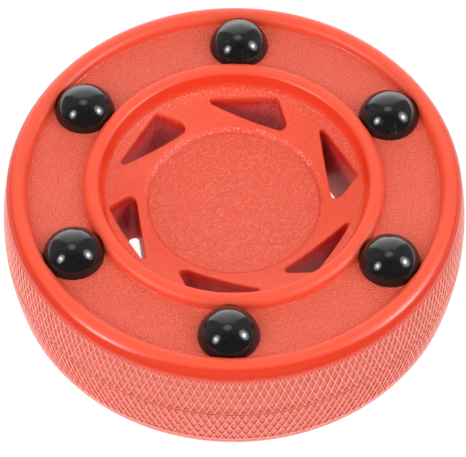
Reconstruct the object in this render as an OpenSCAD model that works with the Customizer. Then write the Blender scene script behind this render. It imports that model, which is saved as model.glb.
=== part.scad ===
// Roller hockey puck: a moulded disc that glides on six snap-riveted runners on each face.
// The disc is one moulding with the same form on both faces. It stands on its lower runners,
// at z = 0, with its axis on Z.

/* [Disc] */
// Widest diameter, at the parting line half way up the side wall
puck_d = 76.2; // [74:0.1:84]
// Thickness between the rim crests of the two faces
body_h = 22.4; // [20:0.1:28]
// Height of the side wall between the rounded shoulders
wall_h = 18.1; // [15:0.1:19.5]
// How far the side wall draws in from the parting line to each shoulder
wall_draft = 0.85; // [0.3:0.05:1.5]

/* [Rim] */
// Width of the rim from the end of the side wall to the trough
rim_w = 3.55; // [3.4:0.05:5]
// Width of the rounded shoulder outside the rim's crest
shoulder_w = 2; // [1:0.05:2.3]
// Width and height of the bevel inside the rim, and on both sides of the ring
bevel = 0.4; // [0.3:0.05:0.9]

/* [Trough and ring] */
// Depth of the trough floor below the rim's crest
trough_depth = 1.55; // [0.95:0.05:2]
// Outside diameter of the inner ring, at the trough floor
ring_d = 49.3; // [47:0.1:50]
// Width of the ring from the trough to the top of the dished cone
ring_w = 3.5; // [3:0.05:3.7]
// How far the ring's inner wall leans in on its way down to the cone
ring_lean = 0.85; // [0.2:0.05:1]

/* [Dish] */
// Depth of the cone's upper edge below the rim's crest
dish_depth = 3; // [2:0.05:4]
// Drop of the cone from its upper edge to its foot
cone_drop = 2.95; // [1.5:0.05:3.5]
// Diameter of the flat hub disc
hub_d = 28.1; // [26:0.1:29]
// Depth of the hub disc below the foot of the cone
hub_step = 0.5; // [0.2:0.05:1]
// Width of the sloped step round the hub disc
step_w = 0.8; // [0.2:0.05:0.9]

/* [Vents] */
// Number of vents through the dish
vent_count = 6; // [3:1:6]
// Distance from the foot of the cone to a vent's sharp heel corner
vent_heel_in = 1.5; // [1.4:0.05:2.2]
// Distance from the upper edge of the cone to a vent's sharp shoulder corner
vent_shoulder_in = 0.4; // [0:0.05:1]
// Distance from the upper edge of the cone to a vent's sharp tip corner
vent_tip_in = 0.75; // [0.3:0.05:1]
// Angle from a runner to the heel corner
vent_heel_a = 26.5; // [25:0.5:28]
// Angle from the heel corner to the shoulder corner
vent_shoulder_sweep = 14.4; // [12:0.1:16]
// Angle from the heel corner to the tip corner
vent_tip_sweep = 52.2; // [48:0.1:54]
// Rounding radius of the heel
vent_heel_round = 1; // [0.5:0.05:1.3]
// Rounding radius of the shoulder
vent_shoulder_round = 0.8; // [0.4:0.05:1.5]
// Rounding radius of the tip
vent_tip_round = 0.45; // [0.3:0.05:0.8]
// How far the outer side of a vent bows out of a straight line
vent_bow = 0.12; // [0:0.02:0.3]

/* [Runners] */
// Number of runners on each face
runner_count = 6; // [3:1:6]
// Diameter of a runner's head
head_d = 9.9; // [7.5:0.1:10.5]
// Height of a head above the trough floor
head_h = 4.1; // [2:0.05:5]
// Height of the upright edge at the foot of a head
head_edge = 0.15; // [0.1:0.05:0.8]
// Angle up the round of a head at which it leaves the upright edge
head_lean = 11.5; // [3:0.5:30]
// Diameter of the shank that runs through the disc
shank_d = 6; // [5.4:0.1:6.8]
// Diameter of the spigot that snaps into the other half
spigot_d = 3.4; // [2.6:0.1:3.8]
// Length of the spigot
spigot_l = 7.5; // [5:0.1:8.5]
// How far the snap ring stands out of the spigot
snap_h = 0.2; // [0.1:0.05:0.3]
// Width of the snap ring
snap_w = 1.2; // [0.8:0.1:1.8]
// Distance from the spigot's tip back to the middle of the snap ring
snap_back = 3; // [1.5:0.1:3.8]

/* [Fits] */
// Clearance between a shank and its bore, on the radius
bore_gap = 0.05; // [0.02:0.01:0.15]
// Clearance between a head and its seat in the sides of the trough, on the radius
seat_gap = 0.05; // [0.02:0.01:0.15]
// Clearance between a spigot and its socket, on the radius
socket_gap = 0.05; // [0.02:0.01:0.1]
// Gap left between the ends of the two halves
end_gap = 0.2; // [0.1:0.05:0.5]

/* [Hidden] */
// Segments round the axis of each turned form
$fn = 96;
// Overlap of a cut past the face that it opens
cut_over = 1;
// Segments of the barrel wall, a rounded edge, a vent's corner, its bowed side and a head
wall_steps = 4;
edge_steps = 5;
corner_steps = 5;
bow_steps = 4;
head_steps = 8;

puck_r = puck_d / 2;
crest_z = body_h / 2;
wall_z = wall_h / 2;
wall_r = puck_r - wall_draft;
crest_r = wall_r - shoulder_w;
trough_z = crest_z - trough_depth;
trough_out_r = wall_r - rim_w;
bevel_z = trough_z + bevel;
ring_r = ring_d / 2;
dish_r = ring_r - ring_w;
dish_z = crest_z - dish_depth;
cone_z = dish_z - cone_drop;
hub_r = hub_d / 2;
hub_z = cone_z - hub_step;
ring_out_r = ring_r - bevel;
ring_in_r = dish_r + ring_lean;
ring_crest_r = (ring_out_r + ring_in_r) / 2;
cone_foot_r = hub_r + step_w;

vent_heel_r = cone_foot_r + vent_heel_in;
vent_shoulder_r = dish_r - vent_shoulder_in;
vent_tip_r = dish_r - vent_tip_in;
vent_pitch = 360 / vent_count;

head_r = head_d / 2;
seat_r = head_r + seat_gap;
shank_r = shank_d / 2;
bore_r = shank_r + bore_gap;
spigot_r = spigot_d / 2;
socket_r = spigot_r + socket_gap;
runner_r = (trough_out_r + ring_r) / 2;
runner_pitch = 360 / runner_count;
// The first runner stands half a pitch from +X, so that a disc with six has one on +Y
runner_start = runner_pitch / 2;
// Height of the disc's middle above the surface that the lower runners stand on
mid_z = trough_z + head_h;
// Distances from the disc's middle along a runner: the end of a shank, the spigot's tip, the
// bottom of the socket and the middle of the snap ring
shank_end = end_gap / 2;
spigot_end = shank_end + spigot_l;
socket_end = spigot_end + 2 * end_gap;
snap_mid = spigot_end - snap_back;

// Points of an elliptical arc round [cx, cy], from angle a0 to a1
function arc(cx, cy, rx, ry, a0, a1, steps) =
    [for (i = [0:steps]) let (a = a0 + (a1 - a0) * i / steps) [cx + rx * cos(a), cy + ry * sin(a)]];

// The same points run through backwards and turned over, for the lower face
function lower(points) =
    [for (i = [len(points) - 1:-1:0]) if (points[i][1] > 0) [points[i][0], -points[i][1]]];

function unit(v) = v / norm(v);
function polar(r, a) = [r * cos(a), r * sin(a)];

// Points of a corner at q, between p and s, rounded to the given radius
function rounded(p, q, s, radius, steps) =
    let (u = unit(p - q), v = unit(s - q), half = acos(u * v) / 2,
         centre = q + unit(u + v) * radius / sin(half),
         first = unit(q + u * radius / tan(half) - centre),
         last = unit(q + v * radius / tan(half) - centre),
         sweep = 180 - 2 * half)
    [for (i = [0:steps]) let (k = i / steps)
        centre + radius * (first * sin((1 - k) * sweep) + last * sin(k * sweep)) / sin(sweep)];

// Points between two ends that bow out of the straight line by the given height
function bowed(from, to, bow, steps) =
    let (along = to - from, out = unit([along[1], -along[0]]))
    [for (i = [1:steps - 1]) let (k = i / steps) from + along * k + out * bow * 4 * k * (1 - k)];

// Section of the upper half of the disc, from the parting line to the axis
function upper_section() = concat(
    [for (i = [0:wall_steps]) let (k = i / wall_steps) [puck_r - wall_draft * k * k, wall_z * k]],
    arc(crest_r, wall_z, shoulder_w, crest_z - wall_z, 90 / edge_steps, 90, edge_steps - 1),
    arc(crest_r, bevel_z, crest_r - trough_out_r - bevel, crest_z - bevel_z,
        90 + 90 / edge_steps, 180, edge_steps - 1),
    [[trough_out_r, trough_z], [ring_r, trough_z]],
    arc(ring_crest_r, bevel_z, ring_out_r - ring_crest_r, crest_z - bevel_z, 0, 180, 2 * edge_steps),
    [[dish_r, dish_z], [cone_foot_r, cone_z], [hub_r, hub_z], [0, hub_z]]
);

// Outline of one vent: a fin with a blunt heel, a shoulder on its outer side and a long tip
function vent_outline() =
    let (heel = polar(vent_heel_r, vent_heel_a),
         shoulder = polar(vent_shoulder_r, vent_heel_a + vent_shoulder_sweep),
         tip = polar(vent_tip_r, vent_heel_a + vent_tip_sweep),
         heel_points = rounded(tip, heel, shoulder, vent_heel_round, corner_steps),
         shoulder_points = rounded(heel, shoulder, tip, vent_shoulder_round, corner_steps),
         tip_points = rounded(shoulder, tip, heel, vent_tip_round, corner_steps))
    concat(
        heel_points,
        shoulder_points,
        bowed(shoulder_points[corner_steps], tip_points[0], vent_bow, bow_steps),
        tip_points
    );

module vent() {
    translate([0, 0, -crest_z - cut_over])
        linear_extrude(body_h + 2 * cut_over) polygon(vent_outline());
}

// Bore for a runner's shank, with a round seat for its head in each trough
module runner_bore() {
    translate([runner_r, 0, 0]) {
        translate([0, 0, -crest_z - cut_over])
            cylinder(r = bore_r, h = body_h + 2 * cut_over);
        for (side = [0, 1]) mirror([0, 0, side]) translate([0, 0, trough_z])
            cylinder(r = seat_r, h = trough_depth + cut_over);
    }
}

// The moulded disc, with its vents and the bores for the runners
module body() {
    section = upper_section();
    color("orangered") translate([0, 0, mid_z]) difference() {
        rotate_extrude() polygon(concat(section, lower(section)));
        for (i = [0:vent_count - 1])
            rotate([0, 0, runner_start + i * vent_pitch]) vent();
        for (i = [0:runner_count - 1])
            rotate([0, 0, runner_start + i * runner_pitch]) runner_bore();
    }
}

// Section of a head, from its foot to its top
function head_section() =
    let (across = head_r / cos(head_lean), up = (head_h - head_edge) / (1 - sin(head_lean)))
    concat([[head_r, trough_z]],
           arc(0, trough_z + head_h - up, across, up, head_lean, 90, head_steps));

// Runner half with the hollow shank, drawn upright on the axis
module socket_runner() {
    groove_r = socket_r + snap_h;
    groove_top = snap_mid + snap_w / 2 + socket_gap;
    groove_foot = snap_mid - snap_w / 2 - socket_gap;
    rotate_extrude() polygon(concat(
        head_section(),
        [[0, socket_end],
         [socket_r, socket_end],
         [socket_r, groove_top],
         [groove_r, groove_top - snap_h],
         [groove_r, groove_foot + snap_h],
         [socket_r, groove_foot],
         [socket_r, shank_end],
         [shank_r, shank_end],
         [shank_r, trough_z]]
    ));
}

// Runner half with the spigot, drawn upright on the axis with its spigot pointing down
module spigot_runner() {
    snap_r = spigot_r + snap_h;
    snap_top = -snap_mid + snap_w / 2;
    snap_foot = -snap_mid - snap_w / 2;
    rotate_extrude() polygon(concat(
        head_section(),
        [[0, -spigot_end],
         [spigot_r - snap_h, -spigot_end],
         [spigot_r, -spigot_end + snap_h],
         [spigot_r, snap_foot],
         [snap_r, snap_foot + snap_h],
         [snap_r, snap_top - snap_h],
         [spigot_r, snap_top],
         [spigot_r, shank_end],
         [shank_r, shank_end],
         [shank_r, trough_z]]
    ));
}

// Puts a runner in its place along the trough
module on_trough(i) {
    rotate([0, 0, runner_start + (i - 1) * runner_pitch])
        translate([runner_r, 0, mid_z]) children();
}

module runner_top(i) {
    color("black") on_trough(i) socket_runner();
}

module runner_bottom(i) {
    color("black") on_trough(i) mirror([0, 0, 1]) spigot_runner();
}

body();
for (i = [1:runner_count])
    runner_top(i);
for (i = [1:runner_count])
    runner_bottom(i);
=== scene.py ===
"""Looks of a roller hockey puck: a moulded disc with a knurled edge, on glossy black runners.

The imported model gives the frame. The disc is made again as one closed mesh with its knurl,
rounded vent lips and soft beads, and each runner as a finely turned stud of the same form.
Lengths are in millimetres until a mesh is made, and heights of the disc are from its middle.
"""

import logging
import math
from collections.abc import Iterable, Sequence
from dataclasses import dataclass
from enum import Enum

import bmesh
import bpy
import numpy as np
from mathutils import Matrix, Vector
from mathutils.geometry import delaunay_2d_cdt


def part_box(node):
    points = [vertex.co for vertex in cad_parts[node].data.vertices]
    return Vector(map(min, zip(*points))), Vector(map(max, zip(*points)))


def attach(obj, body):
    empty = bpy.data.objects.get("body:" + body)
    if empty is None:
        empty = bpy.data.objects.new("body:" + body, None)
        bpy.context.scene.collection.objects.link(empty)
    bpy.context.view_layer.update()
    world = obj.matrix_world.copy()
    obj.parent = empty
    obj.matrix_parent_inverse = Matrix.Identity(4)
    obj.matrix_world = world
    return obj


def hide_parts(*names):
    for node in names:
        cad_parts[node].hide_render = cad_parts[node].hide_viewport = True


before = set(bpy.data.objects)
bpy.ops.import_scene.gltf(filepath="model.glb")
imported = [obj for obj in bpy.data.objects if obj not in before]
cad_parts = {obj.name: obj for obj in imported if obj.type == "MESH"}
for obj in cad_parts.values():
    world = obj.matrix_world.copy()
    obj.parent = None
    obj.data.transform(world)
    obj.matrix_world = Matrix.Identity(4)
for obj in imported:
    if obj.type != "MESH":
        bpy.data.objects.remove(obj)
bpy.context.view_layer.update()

LOG = logging.getLogger("puck")
MM = 0.001
BODY = "root"
RUNNER_COUNT = 6


class Face(Enum):
    """The two faces of the disc, by the sign of their height above its middle."""

    UPPER = 1
    LOWER = -1


class Half(Enum):
    """The two halves of a snap rivet."""

    SOCKET = "top"
    SPIGOT = "bottom"


class Value:
    """A number in a node tree: a socket whose arithmetic adds Math nodes."""

    def __init__(self, nodes: "Nodes", socket: bpy.types.NodeSocket) -> None:
        """Wraps an output socket of the tree."""
        self.nodes = nodes
        self.socket = socket

    def _math(self, operation: str, *terms: "Value | float") -> "Value":
        """Adds a Math node over the terms."""
        return self.nodes.value("ShaderNodeMath", dict(enumerate(terms)), operation=operation)

    def __add__(self, other: "Value | float") -> "Value":
        """Sum."""
        return self._math("ADD", self, other)

    __radd__ = __add__

    def __mul__(self, other: "Value | float") -> "Value":
        """Product."""
        return self._math("MULTIPLY", self, other)

    __rmul__ = __mul__

    def __sub__(self, other: "Value | float") -> "Value":
        """Difference."""
        return self._math("SUBTRACT", self, other)

    def __rsub__(self, other: float) -> "Value":
        """Difference, with the value last."""
        return self._math("SUBTRACT", other, self)

    def __truediv__(self, other: "Value | float") -> "Value":
        """Quotient."""
        return self._math("DIVIDE", self, other)

    def __pow__(self, other: float) -> "Value":
        """Power."""
        return self._math("POWER", self, other)

    def __abs__(self) -> "Value":
        """Size without its sign."""
        return self._math("ABSOLUTE", self)

    def cosine(self) -> "Value":
        """Cosine of an angle in radians."""
        return self._math("COSINE", self)

    def sine(self) -> "Value":
        """Sine of an angle in radians."""
        return self._math("SINE", self)

    def larger(self, other: "Value | float") -> "Value":
        """The larger of the two."""
        return self._math("MAXIMUM", self, other)

    def rising(self, start: float, end: "Value | float") -> "Value":
        """Smooth rise from 0 at start to 1 at end.

        Args:
            start: value at which the rise begins.
            end: value at which it is complete, which may be the smaller of the two.

        Returns:
            The smoothed mask.
        """
        inputs = {"Value": self, "From Min": start, "From Max": end}
        return self.nodes.value("ShaderNodeMapRange", inputs, interpolation_type="SMOOTHSTEP")

    def within(self, start: float, end: float, soft: float) -> "Value":
        """Mask of the stretch from start to end, with soft edges."""
        return self.rising(start - soft, start + soft) * self.rising(end + soft, end - soft)


class Nodes:
    """A node tree that is built in the script."""

    def __init__(self, tree: bpy.types.NodeTree) -> None:
        """Takes an empty tree."""
        self.tree = tree

    def add(self, kind: str, inputs: dict | None = None, **settings: object) -> bpy.types.Node:
        """Adds a node, sets its settings, then the values or links of its sockets.

        Args:
            kind: the node's type.
            inputs: numbers, colours, values, sockets or nodes, by the name or number of the
                input. A node stands for its first output.
            **settings: its properties.

        Returns:
            The new node.
        """
        node = self.tree.nodes.new(kind)
        for name, setting in settings.items():
            setattr(node, name, setting)
        for name, given in (inputs or {}).items():
            source = given.outputs[0] if isinstance(given, bpy.types.Node) else given
            source = given.socket if isinstance(given, Value) else source
            if isinstance(source, bpy.types.NodeSocket):
                self.tree.links.new(source, node.inputs[name])
            else:
                node.inputs[name].default_value = source
        return node

    def value(self, kind: str, inputs: dict | None = None, **settings: object) -> Value:
        """Adds a node and gives its first output as a value."""
        return Value(self, self.add(kind, inputs, **settings).outputs[0])

    def split(self, vector: bpy.types.NodeSocket) -> list[Value]:
        """The three components of a vector."""
        return [Value(self, out) for out in self.add("ShaderNodeSeparateXYZ", {0: vector}).outputs]


class Shader(Nodes):
    """The node tree of a material, or of the world."""

    def __init__(self, owner: "bpy.types.Material | bpy.types.World") -> None:
        """Starts an empty tree on its owner."""
        owner.use_nodes = True
        owner.node_tree.nodes.clear()
        super().__init__(owner.node_tree)

    def place(self) -> bpy.types.NodeSocket:
        """The point on the object in millimetres."""
        metres = self.add("ShaderNodeTexCoord").outputs["Object"]
        scaled = {"Vector": metres, "Scale": 1 / MM}
        return self.add("ShaderNodeVectorMath", scaled, operation="SCALE").outputs["Vector"]

    def noise(
        self, place: bpy.types.NodeSocket, size: float, detail: float = 2.0, twist: float = 0.0
    ) -> Value:
        """Noise from 0 to 1 with features of the given size in millimetres."""
        inputs = {"Vector": place, "Scale": 1 / size, "Detail": detail, "Distortion": twist}
        return Value(self, self.add("ShaderNodeTexNoise", inputs).outputs["Fac"])

    def blend(self, mask: Value, low: object, high: object) -> bpy.types.NodeSocket:
        """Colour that goes from low to high as the mask rises."""
        inputs = {"Factor": mask, 6: low, 7: high}
        return self.add("ShaderNodeMix", inputs, data_type="RGBA").outputs[2]

    def even(self, kind: str, grey: float, strength: float | None = None) -> bpy.types.Node:
        """Adds a shader of one grey, with its strength where it has one."""
        inputs = {"Color": colour(grey, grey, grey)}
        if strength is not None:
            inputs["Strength"] = strength
        return self.add(f"ShaderNode{kind}", inputs)

    def both(self, one: bpy.types.Node, other: bpy.types.Node) -> bpy.types.Node:
        """Sum of two shaders."""
        return self.add("ShaderNodeAddShader", {0: one, 1: other})

    def mix(self, mask: Value, low: bpy.types.Node, high: bpy.types.Node) -> bpy.types.Node:
        """Shader that goes from low to high as the mask rises."""
        return self.add("ShaderNodeMixShader", {0: mask, 1: low, 2: high})

    def rays(self) -> tuple[Value, Value]:
        """Masks of the rays that see the background as it is, and of the mirrored ones."""
        path = self.add("ShaderNodeLightPath").outputs
        camera, through, mirrored = (
            Value(self, path[f"Is {name} Ray"]) for name in ("Camera", "Transmission", "Glossy")
        )
        return camera.larger(through), mirrored

    def output(self, surface: bpy.types.Node, kind: str = "Material") -> None:
        """Ends the tree with its surface."""
        self.add(f"ShaderNodeOutput{kind}", {"Surface": surface})


def colour(red: float, green: float, blue: float) -> tuple[float, float, float, float]:
    """An opaque colour of linear light."""
    return red, green, blue, 1.0


@dataclass(frozen=True)
class DiscPlastic:
    """Orange-red moulded plastic: grained faces, satin beads, frosted cone and knurl."""

    # Some of these colours are painted light: sheen and glints, a reflection low in the vents, and
    # painted shade in the vents, on the brow, at the hub's foot, in the knurl and along the
    # parting line.
    red: tuple = colour(0.88, 0.056, 0.018)
    deep: tuple = colour(0.83, 0.043, 0.013)
    # Tint of the grain cells, partly a painted sheen.
    pale: tuple = colour(0.93, 0.17, 0.095)
    # Painted sheen and glints on the frosted cone.
    frost_glints: tuple = colour(0.94, 0.17, 0.055)
    bead: tuple = colour(0.90, 0.08, 0.028)
    # Painted shade for the brow of the shoulder.
    edge: tuple = colour(0.74, 0.036, 0.006)
    # Frosted finish of the knurl, partly a painted sheen.
    chalk_and_sheen: tuple = colour(0.92, 0.36, 0.27)
    # Ridge tint: partly wear, partly a painted highlight.
    wear_and_highlight: tuple = colour(0.96, 0.58, 0.50)
    # Painted shade inside the vents.
    inner: tuple = colour(0.74, 0.018, 0.008)
    # Painted reflection low in the vents.
    floor_reflection: tuple = colour(0.76, 0.12, 0.135)
    # Painted shade for the hub's foot and the knurl pits' sides.
    shade_stroke: tuple = colour(0.62, 0.035, 0.014)
    glint: tuple = colour(0.95, 0.50, 0.42)
    # Painted shadow of the parting line's groove.
    groove_shadow: tuple = colour(0.20, 0.02, 0.01)
    grain_size: float = 0.3
    grain_depth: float = 0.155
    frost_size: float = 0.3
    frost_depth: float = 0.11
    mottle_size: float = 9.0
    gloss: float = 0.2
    ior: float = 1.5

    def material(self, disc: "Disc", knurl: "Knurl") -> bpy.types.Material:
        """Makes the disc's material.

        Args:
            disc: the disc, for the radii and heights at which the finish changes.
            knurl: the knurl of its side wall.

        Returns:
            The material.
        """
        made = bpy.data.materials.new("disc_plastic")
        shader = Shader(made)
        place = shader.place()
        across, along, height = shader.split(place)
        radius = (across * across + along * along) ** 0.5
        rise = height - disc.mid_z
        level = abs(rise)
        end_r, floor_z = disc.wall_end_r, disc.trough_z

        hub = radius.rising(disc.hub_r, disc.hub_r - 0.3)
        trough = radius.within(disc.ring_r, disc.trough_out_r, 0.25)
        trough = trough * level.within(floor_z - 0.2, floor_z + 0.1, 0.06)
        grained = hub + trough
        cone = radius.within(disc.hub_r, disc.dish_r + 0.2, 0.2)
        shoulder = radius.rising(end_r - disc.shoulder_w, end_r - 1.0)
        brow = radius.rising(end_r - 1.2, end_r - 0.6)
        brow = brow * level.rising(disc.wall_z - 0.2, disc.wall_z + 0.2)
        outside = radius.rising(end_r - 0.7, end_r - 0.2)
        flank = radius.within(disc.ring_r - 0.9, disc.ring_r + 0.2, 0.1)
        flank = flank + radius.within(disc.trough_out_r - 0.2, disc.trough_out_r + 0.9, 0.1)
        flank = flank * level.rising(floor_z + 0.1, floor_z + 0.4)
        bead = level.rising(disc.crest_z - 0.6, disc.crest_z - 0.05).larger(flank)
        step = radius.within(disc.hub_r + 0.1, disc.foot_r + 0.2, 0.15)
        foot = radius.within(disc.hub_r, disc.hub_r + 0.3, 0.12)
        brim = radius.within(disc.dish_r - 1.2, disc.dish_r + 0.2, 0.3) * 0.4

        recess = (level / disc.wall_z) ** 2.0 * -disc.draft + disc.radius - radius
        land = outside * abs(rise - knurl.line_z).rising(knurl.land_half, knurl.land_half - 0.06)
        end = rise.rising(disc.wall_z - 0.2, disc.wall_z - 1.1)
        cut = (outside - land) * end * rise.rising(-disc.wall_z, -disc.wall_z + 0.15)
        ridge = cut * recess.rising(0.2, 0.1)
        side = cut * recess.within(0.19, 0.29, 0.04)
        pit = cut * recess.rising(0.18, 0.26)
        wander = shader.noise(place, 1.6) * 0.16 + (rise - knurl.line_z - 0.08)
        line = outside * abs(wander).rising(0.13, 0.07)

        facing = shader.split(shader.add("ShaderNodeTexCoord").outputs["Normal"])[2]
        vent = cone * abs(facing).rising(0.35, 0.15)
        slope = disc.cone_drop / (disc.dish_r - disc.foot_r)
        depth = (radius - disc.dish_r) * slope + disc.dish_z - level
        deeper = vent * depth.rising(1.2, 3.6)

        cells = shader.noise(place, self.grain_size, 1.5).rising(0.3, 0.7)
        frost = shader.noise(place, self.frost_size)
        patches = frost.rising(0.3, 0.7)
        sparkle = frost.rising(0.56, 0.70)
        # Weight of the painted glints, stronger towards the far side.
        far = along.rising(2.0, 10.0) * 0.45 + 0.2
        base = shader.blend(shader.noise(place, self.mottle_size, 3.0), self.deep, self.red)
        for mask, tint in (
            (bead, self.bead),
            # Painted shade: a darker, deeper red on the brow where the shoulder turns down into
            # the wall.
            (brow * 0.7, self.edge),
            # Paler grain cells: the grain's own pattern, carrying a painted sheen of small
            # highlights on its bumps.
            (grained * (cells * 0.8 + 0.15), self.pale),
            # Painted highlight: a paler sheen over the frosted cone, with painted glints at its
            # sparkle specks.
            (cone * (sparkle * 0.5 + 0.2), self.frost_glints),
            # Painted shade: the vent walls turn deep red as they go down into the vent.
            (vent * depth.rising(0.2, 1.5), self.inner),
            # Painted reflection: the lower vent walls take a mauve tint for the pale floor
            # mirrored in them and light from below.
            (deeper * (patches * 0.7 + 0.3), self.floor_reflection),
            # Painted glints on the hub's step and the cone's brim, stronger towards the far side
            # where the light falls.
            (step.larger(brim) * frost.rising(0.53, 0.66) * far, self.glint),
            # Painted shade: a dark red line at the foot of the hub's step.
            (foot * 0.6, self.shade_stroke),
            # Pale knurl land and pits: partly the frosted finish, partly a painted sheen that
            # whitens them like light on a rough surface.
            (land * 0.3, self.chalk_and_sheen),
            (pit * (patches * 0.5 + 0.25), self.chalk_and_sheen),
            # Painted shade: dark strokes on the pits' sides next to the ridges, stronger on the
            # lower band.
            (side * (rise.rising(1.0, -1.0) * 0.3 + 0.5), self.shade_stroke),
            # Pale ridges: partly wear on the knurl's crests, partly a painted highlight where
            # light catches them.
            (ridge * 0.75, self.wear_and_highlight),
            # Painted shadow: the parting line darkened as if shaded in its groove.
            (line * 0.9, self.groove_shadow),
        ):
            base = shader.blend(mask, base, tint)

        frosted = cone + outside * level.rising(disc.wall_z + 0.4, disc.wall_z)
        relief = grained * cells * self.grain_depth + frosted * frost * self.frost_depth
        relief = relief + (vent + cone * 0.6) * frost * self.frost_depth
        bump = shader.add("ShaderNodeBump", {"Strength": 1.0, "Distance": MM, "Height": relief})
        satin = bead.larger(shoulder * 0.15)
        roughness = self.gloss + grained * 0.24 + frosted * 0.2 + satin * 0.28 - vent * 0.2
        finish = {"Base Color": base, "Roughness": roughness, "IOR": self.ior, "Normal": bump}
        shader.output(shader.add("ShaderNodeBsdfPrincipled", finish))
        return made


@dataclass(frozen=True)
class RunnerNylon:
    """Polished black nylon with faint scuffs."""

    black: tuple = colour(0.008, 0.008, 0.0085)
    dusty: tuple = colour(0.02, 0.018, 0.018)
    scratched: tuple = colour(0.05, 0.05, 0.05)
    stretch: tuple = (1.0, 0.16, 0.16)
    gloss: float = 0.11
    ior: float = 1.5

    def material(self) -> bpy.types.Material:
        """Makes the runners' material.

        Returns:
            The material.
        """
        made = bpy.data.materials.new("runner_plastic")
        shader = Shader(made)
        place = shader.place()
        scuffs = shader.noise(place, 0.9, 5.0, 0.6).rising(0.56, 0.75)
        ends = {0: place, 1: self.stretch}
        drawn = shader.add("ShaderNodeVectorMath", ends, operation="MULTIPLY")
        hair = abs(shader.noise(drawn.outputs["Vector"], 0.8, 1.0) - 0.5).rising(0.008, 0.002)
        hair = hair * shader.noise(place, 3.5, 1.0).rising(0.54, 0.66)
        base = shader.blend(scuffs, self.black, self.dusty)
        base = shader.blend(hair * 0.7, base, self.scratched)
        roughness = self.gloss + scuffs * 0.08 + hair * 0.3
        finish = {"Base Color": base, "Roughness": roughness, "IOR": self.ior}
        shader.output(shader.add("ShaderNodeBsdfPrincipled", finish))
        return made


@dataclass(frozen=True)
class Corner:
    """A corner of a section, at a radius and height, with the radius that rounds it."""

    r: float
    z: float
    rounding: float = 0.0


def rounded_corner(before: Corner, at: Corner, after: Corner, steps: int) -> list[Vector]:
    """Points of the arc that rounds a corner.

    Args:
        before: the corner before it.
        at: the corner that is rounded.
        after: the corner after it.
        steps: parts of the arc.

    Returns:
        The arc's points, or the corner itself where it isn't rounded.
    """
    tip = Vector((at.r, at.z))
    if not at.rounding:
        return [tip]
    back = (Vector((before.r, before.z)) - tip).normalized()
    ahead = (Vector((after.r, after.z)) - tip).normalized()
    half = back.angle(ahead) / 2
    centre = tip + (back + ahead).normalized() * at.rounding / math.sin(half)
    first = (tip + back * at.rounding / math.tan(half) - centre).normalized()
    last = (tip + ahead * at.rounding / math.tan(half) - centre).normalized()
    return [centre + at.rounding * first.slerp(last, k / steps) for k in range(steps + 1)]


def held(points: Sequence[Vector], hold: float, longest: float) -> list[Vector]:
    """Adds points near both ends of each long straight, and along it, so that it shades flat.

    Args:
        points: the section's points.
        hold: distance of the added points from the ends.
        longest: longest stretch that stays undivided.

    Returns:
        The points with the added ones.
    """
    made = [points[0]]
    for start, end in zip(points, points[1:]):
        length = (end - start).length
        if length > 4 * hold:
            inner = length - 2 * hold
            parts = max(1, math.ceil(inner / longest))
            for k in range(parts + 1):
                made.append(start.lerp(end, (hold + inner * k / parts) / length))
        made.append(end)
    return made


def circle_points(r: float, count: int, x: float = 0.0, y: float = 0.0) -> np.ndarray:
    """Points round a circle, counter-clockwise."""
    turn = np.arange(count) * 2 * math.pi / count
    return np.column_stack((x + r * np.cos(turn), y + r * np.sin(turn)))


@dataclass(frozen=True)
class Vent:
    """A fin-shaped vent: a blunt heel, a shoulder on its outer side and a long tip."""

    heel_r: float
    shoulder_r: float
    tip_r: float
    heel_a: float = 26.5
    shoulder_sweep: float = 14.4
    tip_sweep: float = 52.2
    heel_round: float = 1.0
    shoulder_round: float = 0.8
    tip_round: float = 0.45
    bow: float = 0.12
    corner_steps: int = 9
    side_steps: int = 14

    def outline(self, turn: float) -> np.ndarray:
        """The vent's outline, counter-clockwise, turned about the disc's axis.

        Args:
            turn: the turn in degrees.

        Returns:
            The points, one row each.
        """
        corners = []
        for r, angle, rounding in (
            (self.heel_r, self.heel_a, self.heel_round),
            (self.shoulder_r, self.heel_a + self.shoulder_sweep, self.shoulder_round),
            (self.tip_r, self.heel_a + self.tip_sweep, self.tip_round),
        ):
            a = math.radians(angle + turn)
            corners.append(Corner(r * math.cos(a), r * math.sin(a), rounding))
        arcs = [
            rounded_corner(corners[i - 1], corners[i], corners[(i + 1) % 3], self.corner_steps)
            for i in range(3)
        ]
        points: list[Vector] = []
        for side, (arc, following) in enumerate(zip(arcs, arcs[1:] + arcs[:1])):
            start, end = arc[-1], following[0]
            out = Vector((end.y - start.y, start.x - end.x)).normalized()
            bow = self.bow if side == 1 else 0.0
            points += arc
            for step in range(1, self.side_steps):
                k = step / self.side_steps
                points.append(start.lerp(end, k) + out * bow * 4 * k * (1 - k))
        return np.array([tuple(p) for p in points])


def outward(outline: np.ndarray, distance: float) -> np.ndarray:
    """Moves a closed outline outwards by a distance, along its own normals."""
    along = np.roll(outline, -1, axis=0) - outline
    normal = np.column_stack((along[:, 1], -along[:, 0]))
    normal /= np.linalg.norm(normal, axis=1, keepdims=True)
    mean = normal + np.roll(normal, 1, axis=0)
    mean /= np.linalg.norm(mean, axis=1, keepdims=True)
    return outline + distance * mean


def signed_distance(points: np.ndarray, outline: np.ndarray) -> np.ndarray:
    """Distance of points from a closed convex outline, negative inside it."""
    start = outline[None]
    along = np.roll(outline, -1, axis=0)[None] - start
    away = points[:, None] - start
    share = np.clip((away * along).sum(2) / (along * along).sum(2), 0, 1)
    gap = np.linalg.norm(away - share[..., None] * along, axis=2).min(1)
    cross = along[..., 0] * away[..., 1] - along[..., 1] * away[..., 0]
    return np.where((cross > 0).all(1), -gap, gap)


def vent_gap(points: np.ndarray, vents: list[np.ndarray]) -> np.ndarray:
    """Distance of points from the nearest vent, negative inside it."""
    return np.min([signed_distance(points, vent) for vent in vents], axis=0)


def raised(points: np.ndarray, z: "np.ndarray | float") -> np.ndarray:
    """Points of the plane, at one height or at a height each."""
    return np.column_stack((points, np.broadcast_to(z, len(points))))


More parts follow.
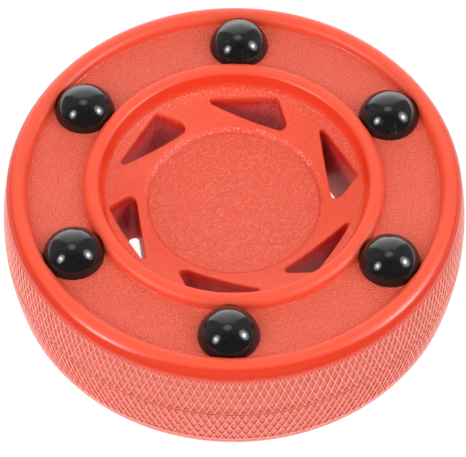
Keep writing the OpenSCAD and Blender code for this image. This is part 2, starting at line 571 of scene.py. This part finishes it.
class Weld:
    """A mesh that is gathered from patches and welded where they meet."""

    MEETING = 2e-6

    def __init__(self) -> None:
        """Starts with no patch."""
        self.vertices: list[tuple[float, float, float]] = []
        self.faces: list[tuple[int, ...]] = []

    def patch(self, vertices: Iterable, faces: Iterable[Sequence[int]]) -> None:
        """Adds a patch, with its vertices in millimetres."""
        first = len(self.vertices)
        self.vertices += [tuple(c * MM for c in v) for v in vertices]
        self.faces += [tuple(first + i for i in f) for f in faces]

    def strip(self, rings: Sequence[Sequence]) -> None:
        """Adds a band of quads between closed rings that have as many points each."""
        count = len(rings[0])
        faces = [
            (row + i, row + (i + 1) % count, row + count + (i + 1) % count, row + count + i)
            for row in range(0, count * (len(rings) - 1), count)
            for i in range(count)
        ]
        self.patch([v for ring in rings for v in ring], faces)

    def ladder(self, lower: np.ndarray, upper: np.ndarray) -> None:
        """Adds triangles between two closed rings round the axis that differ in their points.

        Args:
            lower: points of the lower ring, by rising angle.
            upper: points of the upper ring, by rising angle.
        """
        turn = [np.arctan2(ring[:, 1], ring[:, 0]) for ring in (lower, upper)]
        first = [int(np.argmin(t)) for t in turn]
        rings = [np.roll(r, -f, axis=0) for r, f in zip((lower, upper), first)]
        angles = [np.append(np.roll(t, -f), t[f] + 2 * math.pi) for t, f in zip(turn, first)]
        count = [len(r) for r in rings]
        at = [0, 0]
        faces = []
        while at[0] < count[0] or at[1] < count[1]:
            here = (at[0] % count[0], count[0] + at[1] % count[1])
            step_lower = at[1] >= count[1] or (
                at[0] < count[0] and angles[0][at[0] + 1] <= angles[1][at[1] + 1]
            )
            side = 0 if step_lower else 1
            at[side] += 1
            ahead = at[0] % count[0] if step_lower else count[0] + at[1] % count[1]
            faces.append((here[0], ahead, here[1]))
        self.patch([*rings[0], *rings[1]], faces)

    def lathe(self, rings: Sequence[np.ndarray]) -> None:
        """Adds a closed turned form from its rings. A ring on the axis has a single point."""
        for ring, following in zip(rings, [*rings[1:], rings[0]]):
            if len(ring) == len(following) > 1:
                self.strip([ring, following])
                continue
            hub, round_it = sorted((ring, following), key=len)
            count = len(round_it)
            if count > 1:
                fan = [(i, (i + 1) % count, count) for i in range(count)]
                self.patch([*round_it, *hub], fan)

    def lift(self, height: float) -> None:
        """Moves all that was added up by a height."""
        self.vertices = [(x, y, z + height * MM) for x, y, z in self.vertices]

    def mesh(self, name: str, crease: float) -> bpy.types.Mesh:
        """Welds the patches.

        Args:
            name: the mesh's name.
            crease: angle in degrees above which an edge shades sharp.

        Returns:
            The closed mesh, facing outwards.
        """
        made = bpy.data.meshes.new(name)
        made.from_pydata(self.vertices, [], self.faces)
        work = bmesh.new()
        work.from_mesh(made)
        bmesh.ops.remove_doubles(work, verts=work.verts, dist=self.MEETING)
        bmesh.ops.recalc_face_normals(work, faces=work.faces)
        open_edges = sum(1 for e in work.edges if len(e.link_faces) != 2)
        if open_edges:
            LOG.warning("%s has %d edges without two faces", name, open_edges)
        work.to_mesh(made)
        work.free()
        made.shade_smooth()
        made.set_sharp_from_angle(angle=math.radians(crease))
        return made


def add_object(name: str, data: bpy.types.ID) -> bpy.types.Object:
    """Adds an object to the scene."""
    made = bpy.data.objects.new(name, data)
    bpy.context.scene.collection.objects.link(made)
    return made


def add_piece(
    mesh: bpy.types.Mesh, material: bpy.types.Material, replaced: str
) -> bpy.types.Object:
    """Puts a finished mesh in the scene, on the body, in the place of a node.

    Args:
        mesh: the mesh, with its place in it.
        material: its finish.
        replaced: the node that it stands for.

    Returns:
        The new object.
    """
    mesh.materials.clear()
    mesh.materials.append(material)
    piece = add_object(mesh.name, mesh)
    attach(piece, BODY)
    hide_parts(replaced)
    LOG.info("%s: %d faces", piece.name, len(mesh.polygons))
    return piece


class NodeGroup(Nodes):
    """A Geometry Nodes tree with named inputs, made in the script."""

    def __init__(self, name: str) -> None:
        """Starts a tree with a geometry input and output."""
        super().__init__(bpy.data.node_groups.new(name, "GeometryNodeTree"))
        for way in ("INPUT", "OUTPUT"):
            self._socket("Geometry", "Geometry", way)
        self.source = self.add("NodeGroupInput")
        self.identifiers: dict[str, str] = {}

    def _socket(
        self, name: str, kind: str, way: str = "INPUT"
    ) -> bpy.types.NodeTreeInterfaceSocket:
        """Adds a socket to the tree's interface."""
        return self.tree.interface.new_socket(name, in_out=way, socket_type=f"NodeSocket{kind}")

    def size(self, name: str, kind: str = "Float") -> Value:
        """Adds a named input and returns its value inside the tree."""
        self.identifiers[name] = self._socket(name, kind).identifier
        return Value(self, self.source.outputs[name])

    def applied(self, mesh: bpy.types.Mesh, sizes: dict[str, object]) -> bpy.types.Mesh:
        """Runs the tree on a mesh.

        Args:
            mesh: the tree's geometry input.
            sizes: values of the named inputs.

        Returns:
            The result, as a plain mesh.
        """
        carrier = add_object("carrier", mesh)
        modifier = carrier.modifiers.new("nodes", "NODES")
        modifier.node_group = self.tree
        for name, size in sizes.items():
            modifier[self.identifiers[name]] = size
        evaluated = carrier.evaluated_get(bpy.context.evaluated_depsgraph_get())
        made = bpy.data.meshes.new_from_object(evaluated)
        bpy.data.objects.remove(carrier)
        return made


@dataclass(frozen=True)
class Knurl:
    """Diamond knurl of the side wall: thin ridges that cross, with a pit in each diamond."""

    barrel_r: float
    draft: float
    wall_z: float
    columns: int = 184
    rows: int = 5
    upper_depth: float = 0.32
    lower_depth: float = 0.40
    ridge_share: float = 0.12
    floor_share: float = 0.82
    upper_fade: float = 1.0
    lower_fade: float = 0.3
    lower_phase: float = 0.3
    line_z: float = 0.15
    line_depth: float = 0.12
    line_half: float = 0.09
    land_half: float = 0.28
    ledge: float = 0.05

    @property
    def depths(self) -> dict[Face, float]:
        """Depth of the pits on each side of the parting line."""
        return {Face.UPPER: self.upper_depth, Face.LOWER: self.lower_depth}

    @property
    def fades(self) -> dict[Face, float]:
        """Height over which the pits fade out at the wall's end on each side."""
        return {Face.UPPER: self.upper_fade, Face.LOWER: self.lower_fade}

    def steps(self) -> list[tuple[float, float]]:
        """Places across a pit, as shares of it, and how deep the floor lies there."""
        w, floor = self.ridge_share, self.floor_share
        return [(0.0, 0.0), (w, floor), (0.5, 1.0), (1 - w, floor), (1.0, 0.0)]

    def tile(self) -> bpy.types.Mesh:
        """Two half diamonds that fill a square of one pitch by one row, with their depth as -z.

        Returns:
            The tile, leaning upright: the tree leans it back by half a pitch a row.
        """
        steps = self.steps()
        last = len(steps) - 1
        vertices: list[tuple[float, float, float]] = []
        faces: list[tuple[int, ...]] = []
        for flip in (False, True):
            index: dict[tuple[int, int], int] = {}
            for i in range(last + 1):
                for j in range(i + 1):
                    (s, deep_s), (t, deep_t) = steps[i], steps[j]
                    x, y = (s, 1 - s + t) if flip else (t, s - t)
                    index[i, j] = len(vertices)
                    vertices.append((x, y, -min(deep_s, deep_t)))
            for i in range(last):
                for j in range(i):
                    around = ((i, j), (i + 1, j), (i + 1, j + 1), (i, j + 1))
                    faces.append(tuple(index[corner] for corner in around))
                faces.append((index[i, i], index[i + 1, i], index[i + 1, i + 1]))
        made = bpy.data.meshes.new("knurl_tile")
        made.from_pydata(vertices, [], faces)
        return made

    def barrel(self, z: float) -> float:
        """Radius of the wall at a height."""
        return self.barrel_r - self.draft * (z / self.wall_z) ** 2

    def ring(self, row: int, phase: float, r: float, z: float) -> np.ndarray:
        """The points in which a row of tiles begins.

        Args:
            row: number of the row, from the band's foot.
            phase: turn of the band, in pitches.
            r: radius of the ring.
            z: height of the ring.

        Returns:
            The points by rising angle, one row each.
        """
        shares = np.array([s for s, _ in self.steps()[:-1]])
        first = phase + row / 2 - (self.columns - 1) / 2
        pitches = (np.arange(self.columns)[:, None] + shares[None] + first).ravel()
        turn = np.sort(np.mod(pitches / self.columns * 2 * math.pi, 2 * math.pi))
        return np.column_stack((r * np.cos(turn), r * np.sin(turn), np.full(len(turn), z)))

    def tree(self) -> NodeGroup:
        """The tree that repeats the tile round the wall, wraps it on the barrel and dresses it."""
        group = NodeGroup("knurl")
        columns, rows = group.size("Columns", "Int"), group.size("Rows", "Int")
        phase, depth, fade = group.size("Phase"), group.size("Depth"), group.size("Fade")
        foot, row_height = group.size("Foot height"), group.size("Row height")
        barrel_r, draft = group.size("Barrel radius"), group.size("Draft")
        wall_z, finish = group.size("Wall height"), group.size("Finish", "Material")

        spans = {"Size X": columns - 1.0, "Size Y": rows - 1.0}
        counts = {"Vertices X": columns, "Vertices Y": rows}
        grid = group.add("GeometryNodeMeshGrid", spans | counts)
        cells = {"Points": grid, "Instance": group.source}
        tiles = group.add("GeometryNodeInstanceOnPoints", cells)
        real = group.add("GeometryNodeRealizeInstances", {0: tiles})

        across, up, pit = group.split(group.add("GeometryNodeInputPosition").outputs[0])
        row = up + (rows - 1.0) / 2.0
        turn = (across + phase + row * 0.5) / columns * (2 * math.pi)
        height = foot + row * row_height
        barrel = barrel_r - draft * abs(height / wall_z) ** 2.0
        r = barrel + pit * (depth * (wall_z - abs(height)).rising(0.0, fade))
        point = {"X": r * turn.cosine(), "Y": r * turn.sine(), "Z": height}
        wrapped = group.add("ShaderNodeCombineXYZ", point)
        placed = group.add("GeometryNodeSetPosition", {"Geometry": real, "Position": wrapped})
        whole = group.add("GeometryNodeRealizeInstances", {0: placed})
        dressed = group.add("GeometryNodeSetMaterial", {"Geometry": whole, "Material": finish})
        group.add("NodeGroupOutput", {"Geometry": dressed})
        return group

    def add_to(self, weld: Weld, finish: bpy.types.Material) -> None:
        """Adds both bands and the parting line between them to the disc's mesh.

        Args:
            weld: the mesh under construction.
            finish: the disc's material.
        """
        group = self.tree()
        inner = {side: self.line_z + side.value * self.land_half for side in Face}
        for side, phase in ((Face.UPPER, 0.0), (Face.LOWER, self.lower_phase)):
            foot = inner[side] if side is Face.UPPER else -self.wall_z
            top = self.wall_z if side is Face.UPPER else inner[side]
            band = group.applied(
                self.tile(),
                {
                    "Columns": self.columns,
                    "Rows": self.rows,
                    "Phase": phase,
                    "Depth": self.depths[side],
                    "Fade": self.fades[side],
                    "Foot height": foot,
                    "Row height": (top - foot) / self.rows,
                    "Barrel radius": self.barrel_r,
                    "Draft": self.draft,
                    "Wall height": self.wall_z,
                    "Finish": finish,
                },
            )
            weld.patch([v.co for v in band.vertices], [f.vertices for f in band.polygons])
        self._add_line(weld, inner)

    def _add_line(self, weld: Weld, inner: dict[Face, float]) -> None:
        """Adds the smooth land between the bands, with the parting line as a groove in it."""
        edges = []
        ends = ((Face.UPPER, 0, 0.0), (Face.LOWER, self.rows, self.lower_phase))
        for side, row, phase in ends:
            step = -side.value
            z = inner[side]
            rings = [
                self.pit_ring(row, phase, z, self.depths[side]),
                self.ring(row, phase, self.barrel(z), z + step * self.ledge),
                self.ring(row, phase, self.barrel(z), self.line_z - step * self.line_half),
            ]
            weld.strip(rings)
            edges.append(rings[-1])
        upper, lower = edges
        floor = upper.copy()
        floor[:, :2] *= 1 - self.line_depth / self.barrel_r
        floor[:, 2] = self.line_z
        weld.strip([upper, floor])
        weld.ladder(lower, floor)

    def pit_ring(self, row: int, phase: float, z: float, depth: float) -> np.ndarray:
        """The ring in which a band ends at the land, with its pits at their full depth."""
        ring = self.ring(row, phase, 1.0, z)
        pitches = np.arctan2(ring[:, 1], ring[:, 0]) / (2 * math.pi) * self.columns
        share = np.mod(pitches - phase - row / 2 + (self.columns - 1) / 2, 1.0)
        places, depths = zip(*self.steps())
        r = self.barrel(z) - depth * np.interp(share, places, depths)
        ring[:, :2] *= r[:, None]
        return ring


@dataclass(frozen=True)
class Disc:
    """The moulded disc, with the same form on both faces."""

    TOUCHING = 1e-7

    radius: float
    crest_z: float
    mid_z: float
    runner_places: tuple[tuple[float, float], ...]
    head_r: float
    wall_z: float = 9.05
    draft: float = 0.85
    rim_w: float = 3.55
    shoulder_w: float = 2.0
    trough_depth: float = 1.55
    ring_r: float = 24.65
    ring_w: float = 3.5
    side_lean: float = 0.35
    ring_lean: float = 0.85
    dish_depth: float = 3.0
    cone_drop: float = 2.95
    hub_r: float = 14.05
    hub_step: float = 0.5
    step_w: float = 0.8
    vent_heel_in: float = 1.5
    vent_shoulder_in: float = 0.4
    vent_tip_in: float = 0.75
    vent_lip: float = 0.3
    bore_r: float = 3.05
    seat_gap: float = 0.05
    seat_wall: float = 0.02
    hub_round: float = 0.3
    floor_round: float = 0.5
    brim_round: float = 0.6
    ring_round: float = 0.9
    crest_round: float = 1.2
    ring_foot: float = 0.08
    columns: int = 240
    bore_columns: int = 48
    seat_columns: int = 96
    lip_steps: int = 4
    corner_steps: int = 6
    shoulder_steps: int = 10

    @property
    def wall_end_r(self) -> float:
        """Radius at which the side wall meets the rounded shoulder."""
        return self.radius - self.draft

    @property
    def trough_z(self) -> float:
        """Height of the trough floor."""
        return self.crest_z - self.trough_depth

    @property
    def trough_out_r(self) -> float:
        """Outer radius of the trough floor."""
        return self.wall_end_r - self.rim_w

    @property
    def dish_r(self) -> float:
        """Radius of the cone's upper edge."""
        return self.ring_r - self.ring_w

    @property
    def dish_z(self) -> float:
        """Height of the cone's upper edge."""
        return self.crest_z - self.dish_depth

    @property
    def foot_r(self) -> float:
        """Radius of the cone's foot."""
        return self.hub_r + self.step_w

    @property
    def seat_r(self) -> float:
        """Radius of a head's seat."""
        return self.head_r + self.seat_gap

    def section(self) -> np.ndarray:
        """Section of a face, from the axis out to the foot of the shoulder.

        Returns:
            Radii and heights, one row each, by rising radius.
        """
        cone_z = self.dish_z - self.cone_drop
        crest_r = self.wall_end_r - self.shoulder_w
        corners = [
            Corner(0.0, cone_z - self.hub_step),
            Corner(self.hub_r, cone_z - self.hub_step, self.hub_round),
            Corner(self.foot_r, cone_z, self.floor_round),
            Corner(self.dish_r, self.dish_z, self.brim_round),
            Corner(self.dish_r + self.ring_lean + self.ring_foot, self.crest_z, self.ring_round),
            Corner(self.ring_r - self.side_lean, self.crest_z, self.crest_round),
            Corner(self.ring_r, self.trough_z, self.floor_round),
            Corner(self.trough_out_r, self.trough_z, self.floor_round),
            Corner(self.trough_out_r + self.side_lean, self.crest_z, self.crest_round),
            Corner(crest_r, self.crest_z),
        ]
        points = [Vector((0.0, corners[0].z))]
        for before, at, after in zip(corners, corners[1:], corners[2:]):
            points += rounded_corner(before, at, after, self.corner_steps)
        height = self.crest_z - self.wall_z
        for step in range(self.shoulder_steps + 1):
            a = math.pi / 2 * (1 - step / self.shoulder_steps)
            r = crest_r + self.shoulder_w * math.cos(a)
            points.append(Vector((r, self.wall_z + height * math.sin(a))))
        return np.array([tuple(p) for p in held(points, hold=0.12, longest=3.0)])

    def vents(self) -> list[np.ndarray]:
        """Outlines of the vents, the first one just past the first runner."""
        vent = Vent(
            self.foot_r + self.vent_heel_in,
            self.dish_r - self.vent_shoulder_in,
            self.dish_r - self.vent_tip_in,
        )
        pitch = 360 / RUNNER_COUNT
        return [vent.outline((i + 0.5) * pitch) for i in range(RUNNER_COUNT)]

    def lip_drop(self, gap: np.ndarray) -> np.ndarray:
        """How far the rounded lip lies below the cone, at a distance from a vent."""
        inside = np.clip(self.vent_lip - gap, 0, self.vent_lip)
        return self.vent_lip - np.sqrt(self.vent_lip**2 - inside**2)

    def runner_gap(self, points: np.ndarray) -> np.ndarray:
        """Distance of points from the nearest runner's axis."""
        gaps = [np.hypot(points[:, 0] - x, points[:, 1] - y) for x, y in self.runner_places]
        return np.min(gaps, axis=0)

    def heights(
        self, points: np.ndarray, section: np.ndarray, vents: list[np.ndarray]
    ) -> np.ndarray:
        """Heights of a face at points seen from above.

        Args:
            points: places in the face, one row each.
            section: the face's section.
            vents: the vents' outlines.

        Returns:
            The heights above the disc's middle.
        """
        z = np.interp(np.hypot(points[:, 0], points[:, 1]), section[:, 0], section[:, 1])
        z = z - self.lip_drop(vent_gap(points, vents))
        seated = self.runner_gap(points) < self.seat_r + self.seat_wall / 2
        return np.where(seated, self.trough_z, z)

    def add_face(self, weld: Weld, side: Face, rim: np.ndarray) -> None:
        """Adds one face of the disc, with its vents and bores open.

        Args:
            weld: the mesh under construction.
            side: which face.
            rim: points of the ring in which the side wall ends.
        """
        section, vents = self.section(), self.vents()
        points: list[np.ndarray] = []
        edges: list[tuple[int, int]] = []

        def add_loop(loop: np.ndarray, keep: np.ndarray) -> None:
            """Adds the kept points of a loop and the edges between kept neighbours."""
            first = sum(len(p) for p in points)
            number = first - 1 + np.cumsum(keep)
            for i, following in zip(range(len(loop)), [*range(1, len(loop)), 0]):
                if keep[i] and keep[following]:
                    edges.append((int(number[i]), int(number[following])))
            points.append(loop[keep])

        for r in section[1:-1, 0]:
            count = self.columns if r > self.hub_r - 1 else 12 * math.ceil(r)
            loop = circle_points(r, count)
            keep = vent_gap(loop, vents) > self.vent_lip * 1.3
            add_loop(loop, keep & (self.runner_gap(loop) > self.seat_r + 4 * self.seat_wall))
        for vent in vents:
            for step in range(self.lip_steps + 1):
                gap = self.vent_lip * (1 - math.cos(math.pi / 2 * step / self.lip_steps))
                add_loop(outward(vent, gap), np.ones(len(vent), bool))
        seats = [
            (self.bore_r, self.bore_columns),
            (self.seat_r, self.seat_columns),
            (self.seat_r + self.seat_wall, self.seat_columns),
        ]
        for x, y in self.runner_places:
            for r, count in seats:
                add_loop(circle_points(r, count, x, y), np.ones(count, bool))
        add_loop(rim[:, :2], np.ones(len(rim), bool))

        flat = [Vector(p) for p in np.concatenate([np.zeros((1, 2)), *points])]
        shifted = [(a + 1, b + 1) for a, b in edges]
        found, _, triangles, *_ = delaunay_2d_cdt(flat, shifted, [], 0, self.TOUCHING, False)
        at = np.array([tuple(p) for p in found])
        corners = np.array(triangles)
        middle = at[corners].mean(1)
        keep = (vent_gap(middle, vents) > 0) & (self.runner_gap(middle) > self.bore_r)
        z = side.value * self.heights(at, section, vents)
        weld.patch(raised(at, z), corners[keep])

    def add_openings(self, weld: Weld) -> None:
        """Adds the walls of the vents and bores.

        Args:
            weld: the mesh under construction.
        """
        section, vents = self.section(), self.vents()
        bores = [circle_points(self.bore_r, self.bore_columns, *at) for at in self.runner_places]
        for edge in [*vents, *bores]:
            z = self.heights(edge, section, vents)
            weld.strip([raised(edge, -z), raised(edge, z)])

    def build(self, finish: DiscPlastic) -> bpy.types.Object:
        """Builds and dresses the disc.

        Args:
            finish: its finish.

        Returns:
            The piece.
        """
        weld = Weld()
        knurl = Knurl(self.radius, self.draft, self.wall_z)
        material = finish.material(self, knurl)
        knurl.add_to(weld, material)
        ends = ((Face.UPPER, knurl.rows, 0.0), (Face.LOWER, 0, knurl.lower_phase))
        for side, row, phase in ends:
            rim = knurl.ring(row, phase, self.wall_end_r, side.value * self.wall_z)
            self.add_face(weld, side, rim)
        self.add_openings(weld)
        weld.lift(self.mid_z)
        return add_piece(weld.mesh("disc", crease=35.0), material, "body")


@dataclass(frozen=True)
class Runner:
    """One half of a snap rivet: a domed head on a hollow shank, or on one with a spigot."""

    head_r: float
    head_h: float
    foot_z: float
    edge: float = 0.15
    lean: float = 11.5
    shank_r: float = 3.0
    spigot_r: float = 1.7
    spigot_l: float = 7.5
    snap_h: float = 0.2
    snap_w: float = 1.2
    snap_back: float = 3.0
    end_gap: float = 0.2
    socket_gap: float = 0.05
    columns: int = 96
    head_steps: int = 28

    def head(self) -> list[tuple[float, float]]:
        """Section of the head, from its foot to its top."""
        start = math.radians(self.lean)
        across = self.head_r / math.cos(start)
        up = (self.head_h - self.edge) / (1 - math.sin(start))
        points = [(self.head_r, self.foot_z)]
        for step in range(self.head_steps + 1):
            a = start + (math.pi / 2 - start) * step / self.head_steps
            r = across * math.cos(a) if step < self.head_steps else 0.0
            points.append((r, self.foot_z + self.head_h - up * (1 - math.sin(a))))
        return points

    def snap(self, r: float, top: float, foot: float) -> list[tuple[float, float]]:
        """Section of the snap ring, or of its groove, downwards from its top."""
        out = r + self.snap_h
        return [(r, top), (out, top - self.snap_h), (out, foot + self.snap_h), (r, foot)]

    def section(self, half: Half) -> list[tuple[float, float]]:
        """Section of a runner, from its head's foot over its top and back.

        Args:
            half: with a socket or with a spigot.

        Returns:
            Radii and heights from the disc's middle, in order.
        """
        shank_end = self.end_gap / 2
        tip = shank_end + self.spigot_l
        snap = tip - self.snap_back
        if half is Half.SOCKET:
            r = self.spigot_r + self.socket_gap
            top = snap + self.snap_w / 2 + self.socket_gap
            foot = snap - self.snap_w / 2 - self.socket_gap
            bottom = tip + 2 * self.end_gap
            inner = [(0.0, bottom), (r, bottom), *self.snap(r, top, foot)]
        else:
            r = self.spigot_r
            top, foot = -snap + self.snap_w / 2, -snap - self.snap_w / 2
            point = [(0.0, -tip), (r - self.snap_h, -tip), (r, -tip + self.snap_h)]
            inner = [*point, *reversed(self.snap(r, top, foot))]
        shank = [(r, shank_end), (self.shank_r, shank_end), (self.shank_r, self.foot_z)]
        return self.head() + inner + shank

    def build(
        self, half: Half, number: int, place: tuple[float, float], mid_z: float,
        material: bpy.types.Material,
    ) -> bpy.types.Object:
        """Builds and dresses one runner.

        Args:
            half: with a socket, for the upper face, or with a spigot, for the lower one.
            number: the runner's number.
            place: its axis.
            mid_z: height of the disc's middle above the ground.
            material: its finish.

        Returns:
            The piece.
        """
        sign = 1 if half is Half.SOCKET else -1
        weld = Weld()
        rings = []
        for r, z in self.section(half):
            count = self.columns if r > 0 else 1
            rings.append(raised(circle_points(r, count, *place), sign * z))
        weld.lathe(rings)
        weld.lift(mid_z)
        which = f"{half.value}_{number}"
        mesh = weld.mesh(f"glide_{which}", crease=40.0)
        return add_piece(mesh, material, f"runner_{which}")


@dataclass(frozen=True)
class Softbox:
    """A lamp panel that points at the puck, by its direction and how large it looks."""

    name: str
    azimuth: float
    elevation: float
    width: float
    height: float
    radiance: float
    glossy: bool = True
    diffuse: bool = True


@dataclass(frozen=True)
class Studio:
    """The plain floor, the lamps and the camera."""

    target: tuple[float, float, float] = (-0.130, -2.031, 13.75)
    camera_distance: float = 420.9
    camera_azimuth: float = 1.745
    camera_elevation: float = 54.945
    camera_roll: float = -0.13
    lens: float = 196.22
    sensor: float = 36.0
    lamp_distance: float = 900.0
    floor_size: float = 6000.0
    sky: float = 4.0
    floor_glow: float = 0.95
    floor_lift: float = 0.4
    mirror_pale: float = 1.9
    mirror_dim: float = 0.1
    softboxes: tuple[Softbox, ...] = (
        Softbox("left", -123.6, 34.3, 12.0, 13.0, 21.0, diffuse=False),
        Softbox("left glow", -123.6, 34.3, 22.0, 32.0, 4.6, diffuse=False),
        Softbox("left wide", -118.0, 42.0, 44.0, 44.0, 3.2, glossy=False),
        Softbox("right", 100.5, 34.6, 13.0, 15.0, 21.0, diffuse=False),
        Softbox("right glow", 99.0, 34.6, 28.0, 38.0, 4.0, diffuse=False),
        Softbox("right wide", 97.0, 42.0, 44.0, 44.0, 3.4, glossy=False),
        Softbox("fill", 180.0, 15.0, 90.0, 45.0, 1.7, glossy=False),
    )

    def add_camera(self) -> None:
        """Adds the camera at the photograph's viewing angle."""
        camera = bpy.data.cameras.new("camera")
        camera.lens = self.lens
        camera.sensor_width = self.sensor
        camera.clip_start = self.camera_distance * MM / 10
        camera.clip_end = self.floor_size * MM * 4
        turned = (
            Matrix.Rotation(math.radians(self.camera_azimuth), 4, "Z")
            @ Matrix.Rotation(math.radians(90 - self.camera_elevation), 4, "X")
            @ Matrix.Rotation(math.radians(self.camera_roll), 4, "Z")
        )
        back = turned @ Vector((0, 0, self.camera_distance))
        holder = add_object("camera", camera)
        holder.matrix_world = Matrix.Translation((Vector(self.target) + back) * MM) @ turned
        bpy.context.scene.camera = holder

    def add_softbox(self, box: Softbox) -> None:
        """Adds a lamp panel, unseen by the camera, at a plain level."""
        azimuth, elevation = math.radians(box.azimuth), math.radians(box.elevation)
        level = math.cos(elevation)
        toward = Vector(
            (math.sin(azimuth) * level, math.cos(azimuth) * level, math.sin(elevation))
        )
        lamp = bpy.data.lights.new(box.name, "AREA")
        lamp.shape = "ELLIPSE"
        reach = self.lamp_distance * MM
        lamp.size = 2 * reach * math.tan(math.radians(box.width) / 2)
        lamp.size_y = 2 * reach * math.tan(math.radians(box.height) / 2)
        lamp.energy = box.radiance * math.pi * lamp.size * lamp.size_y * math.pi / 4
        holder = add_object(box.name, lamp)
        holder.location = toward * reach
        holder.rotation_mode = "QUATERNION"
        holder.rotation_quaternion = toward.to_track_quat("Z", "Y")
        holder.visible_camera = False
        holder.visible_glossy = box.glossy
        holder.visible_diffuse = box.diffuse

    def add_floor(self) -> None:
        """Adds the white floor, with a faint shadow, which mirrors see pale behind the puck."""
        half = self.floor_size / 2
        corners = [(-half, -half, 0), (half, -half, 0), (half, half, 0), (-half, half, 0)]
        weld = Weld()
        weld.patch(corners, [(0, 1, 2, 3)])
        mesh = bpy.data.meshes.new("floor")
        mesh.from_pydata(weld.vertices, [], weld.faces)
        material = bpy.data.materials.new("floor")
        shader = Shader(material)
        seen, mirrored = shader.rays()
        across, along, _ = shader.split(shader.place())
        radial = (across * across + along * along) ** 0.5
        under = radial.rising(36.0, 26.0)
        pale = along.rising(-60.0, 160.0).larger(radial.rising(75.0, 45.0))
        paper, shade = shader.even("BsdfDiffuse", 0.8), shader.even("BsdfDiffuse", 0.1)
        glow, lift, bright, dim = (
            shader.even("Emission", 1.0, strength)
            for strength in (self.floor_glow, self.floor_lift, self.mirror_pale, self.mirror_dim)
        )
        near = shader.mix(under, paper, shader.both(paper, lift))
        around = shader.mix(mirrored * (1.0 - under), near, shader.mix(pale, dim, bright))
        shader.output(shader.mix(seen, around, shader.both(shade, glow)))
        mesh.materials.append(material)
        floor = add_object("floor", mesh)

    def add_world(self) -> None:
        """Adds a world that is white to the camera, with a pale sweep behind for the rest."""
        world = bpy.data.worlds.new("studio")
        bpy.context.scene.world = world
        shader = Shader(world)
        seen, mirrored = shader.rays()
        right, back, up = shader.split(shader.add("ShaderNodeTexCoord").outputs["Generated"])
        off = abs(right / back.larger(0.01) + 0.17)
        sweep = (off * -0.55 + 1.0) * (up * -2.9 + 3.57) * off.rising(0.92, 0.72)
        sweep = sweep * back.rising(0.0, 0.1) * up.rising(0.94, 0.86)
        overhead = (right + 0.07) ** 2.0 * 0.6 + (back - 0.12) ** 2.0
        overhead = (overhead**0.5).rising(0.23, 0.11) * 1.8
        walls = back.rising(-0.5, 0.2) * 0.35 + 0.05
        share = (sweep + overhead + walls) * (mirrored * 0.4 + 0.6) / self.sky
        dark, white = shader.even("Background", 0.0, 1.0), shader.even("Background", 1.0, 1.0)
        pale = shader.even("Background", 1.0, self.sky)
        shader.output(shader.mix(seen, shader.mix(share, dark, pale), white), "World")

    def build(self) -> None:
        """Sets up the whole studio."""
        bpy.context.scene.view_settings.view_transform = "Standard"
        self.add_camera()
        self.add_floor()
        self.add_world()
        for box in self.softboxes:
            self.add_softbox(box)


def main() -> None:
    """Builds the studio, the disc and the runners."""
    logging.basicConfig(level=logging.INFO, format="%(message)s")
    Studio().build()
    low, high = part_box("body")
    radius, crest_z = (high.x - low.x) / 2 / MM, (high.z - low.z) / 2 / MM
    mid_z = (low.z + high.z) / 2 / MM
    places = []
    for number in range(1, RUNNER_COUNT + 1):
        head_low, head_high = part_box(f"runner_top_{number}")
        middle = (head_low + head_high) / 2 / MM
        places.append((middle.x, middle.y))
    head_r = (head_high.x - head_low.x) / 2 / MM
    disc = Disc(radius, crest_z, mid_z, tuple(places), head_r)
    disc.build(DiscPlastic())
    nylon = RunnerNylon().material()
    runner = Runner(head_r, head_high.z / MM - mid_z - disc.trough_z, disc.trough_z)
    for number, place in enumerate(places, 1):
        for half in Half:
            runner.build(half, number, place, mid_z, nylon)


if __name__ == "__main__":
    main()
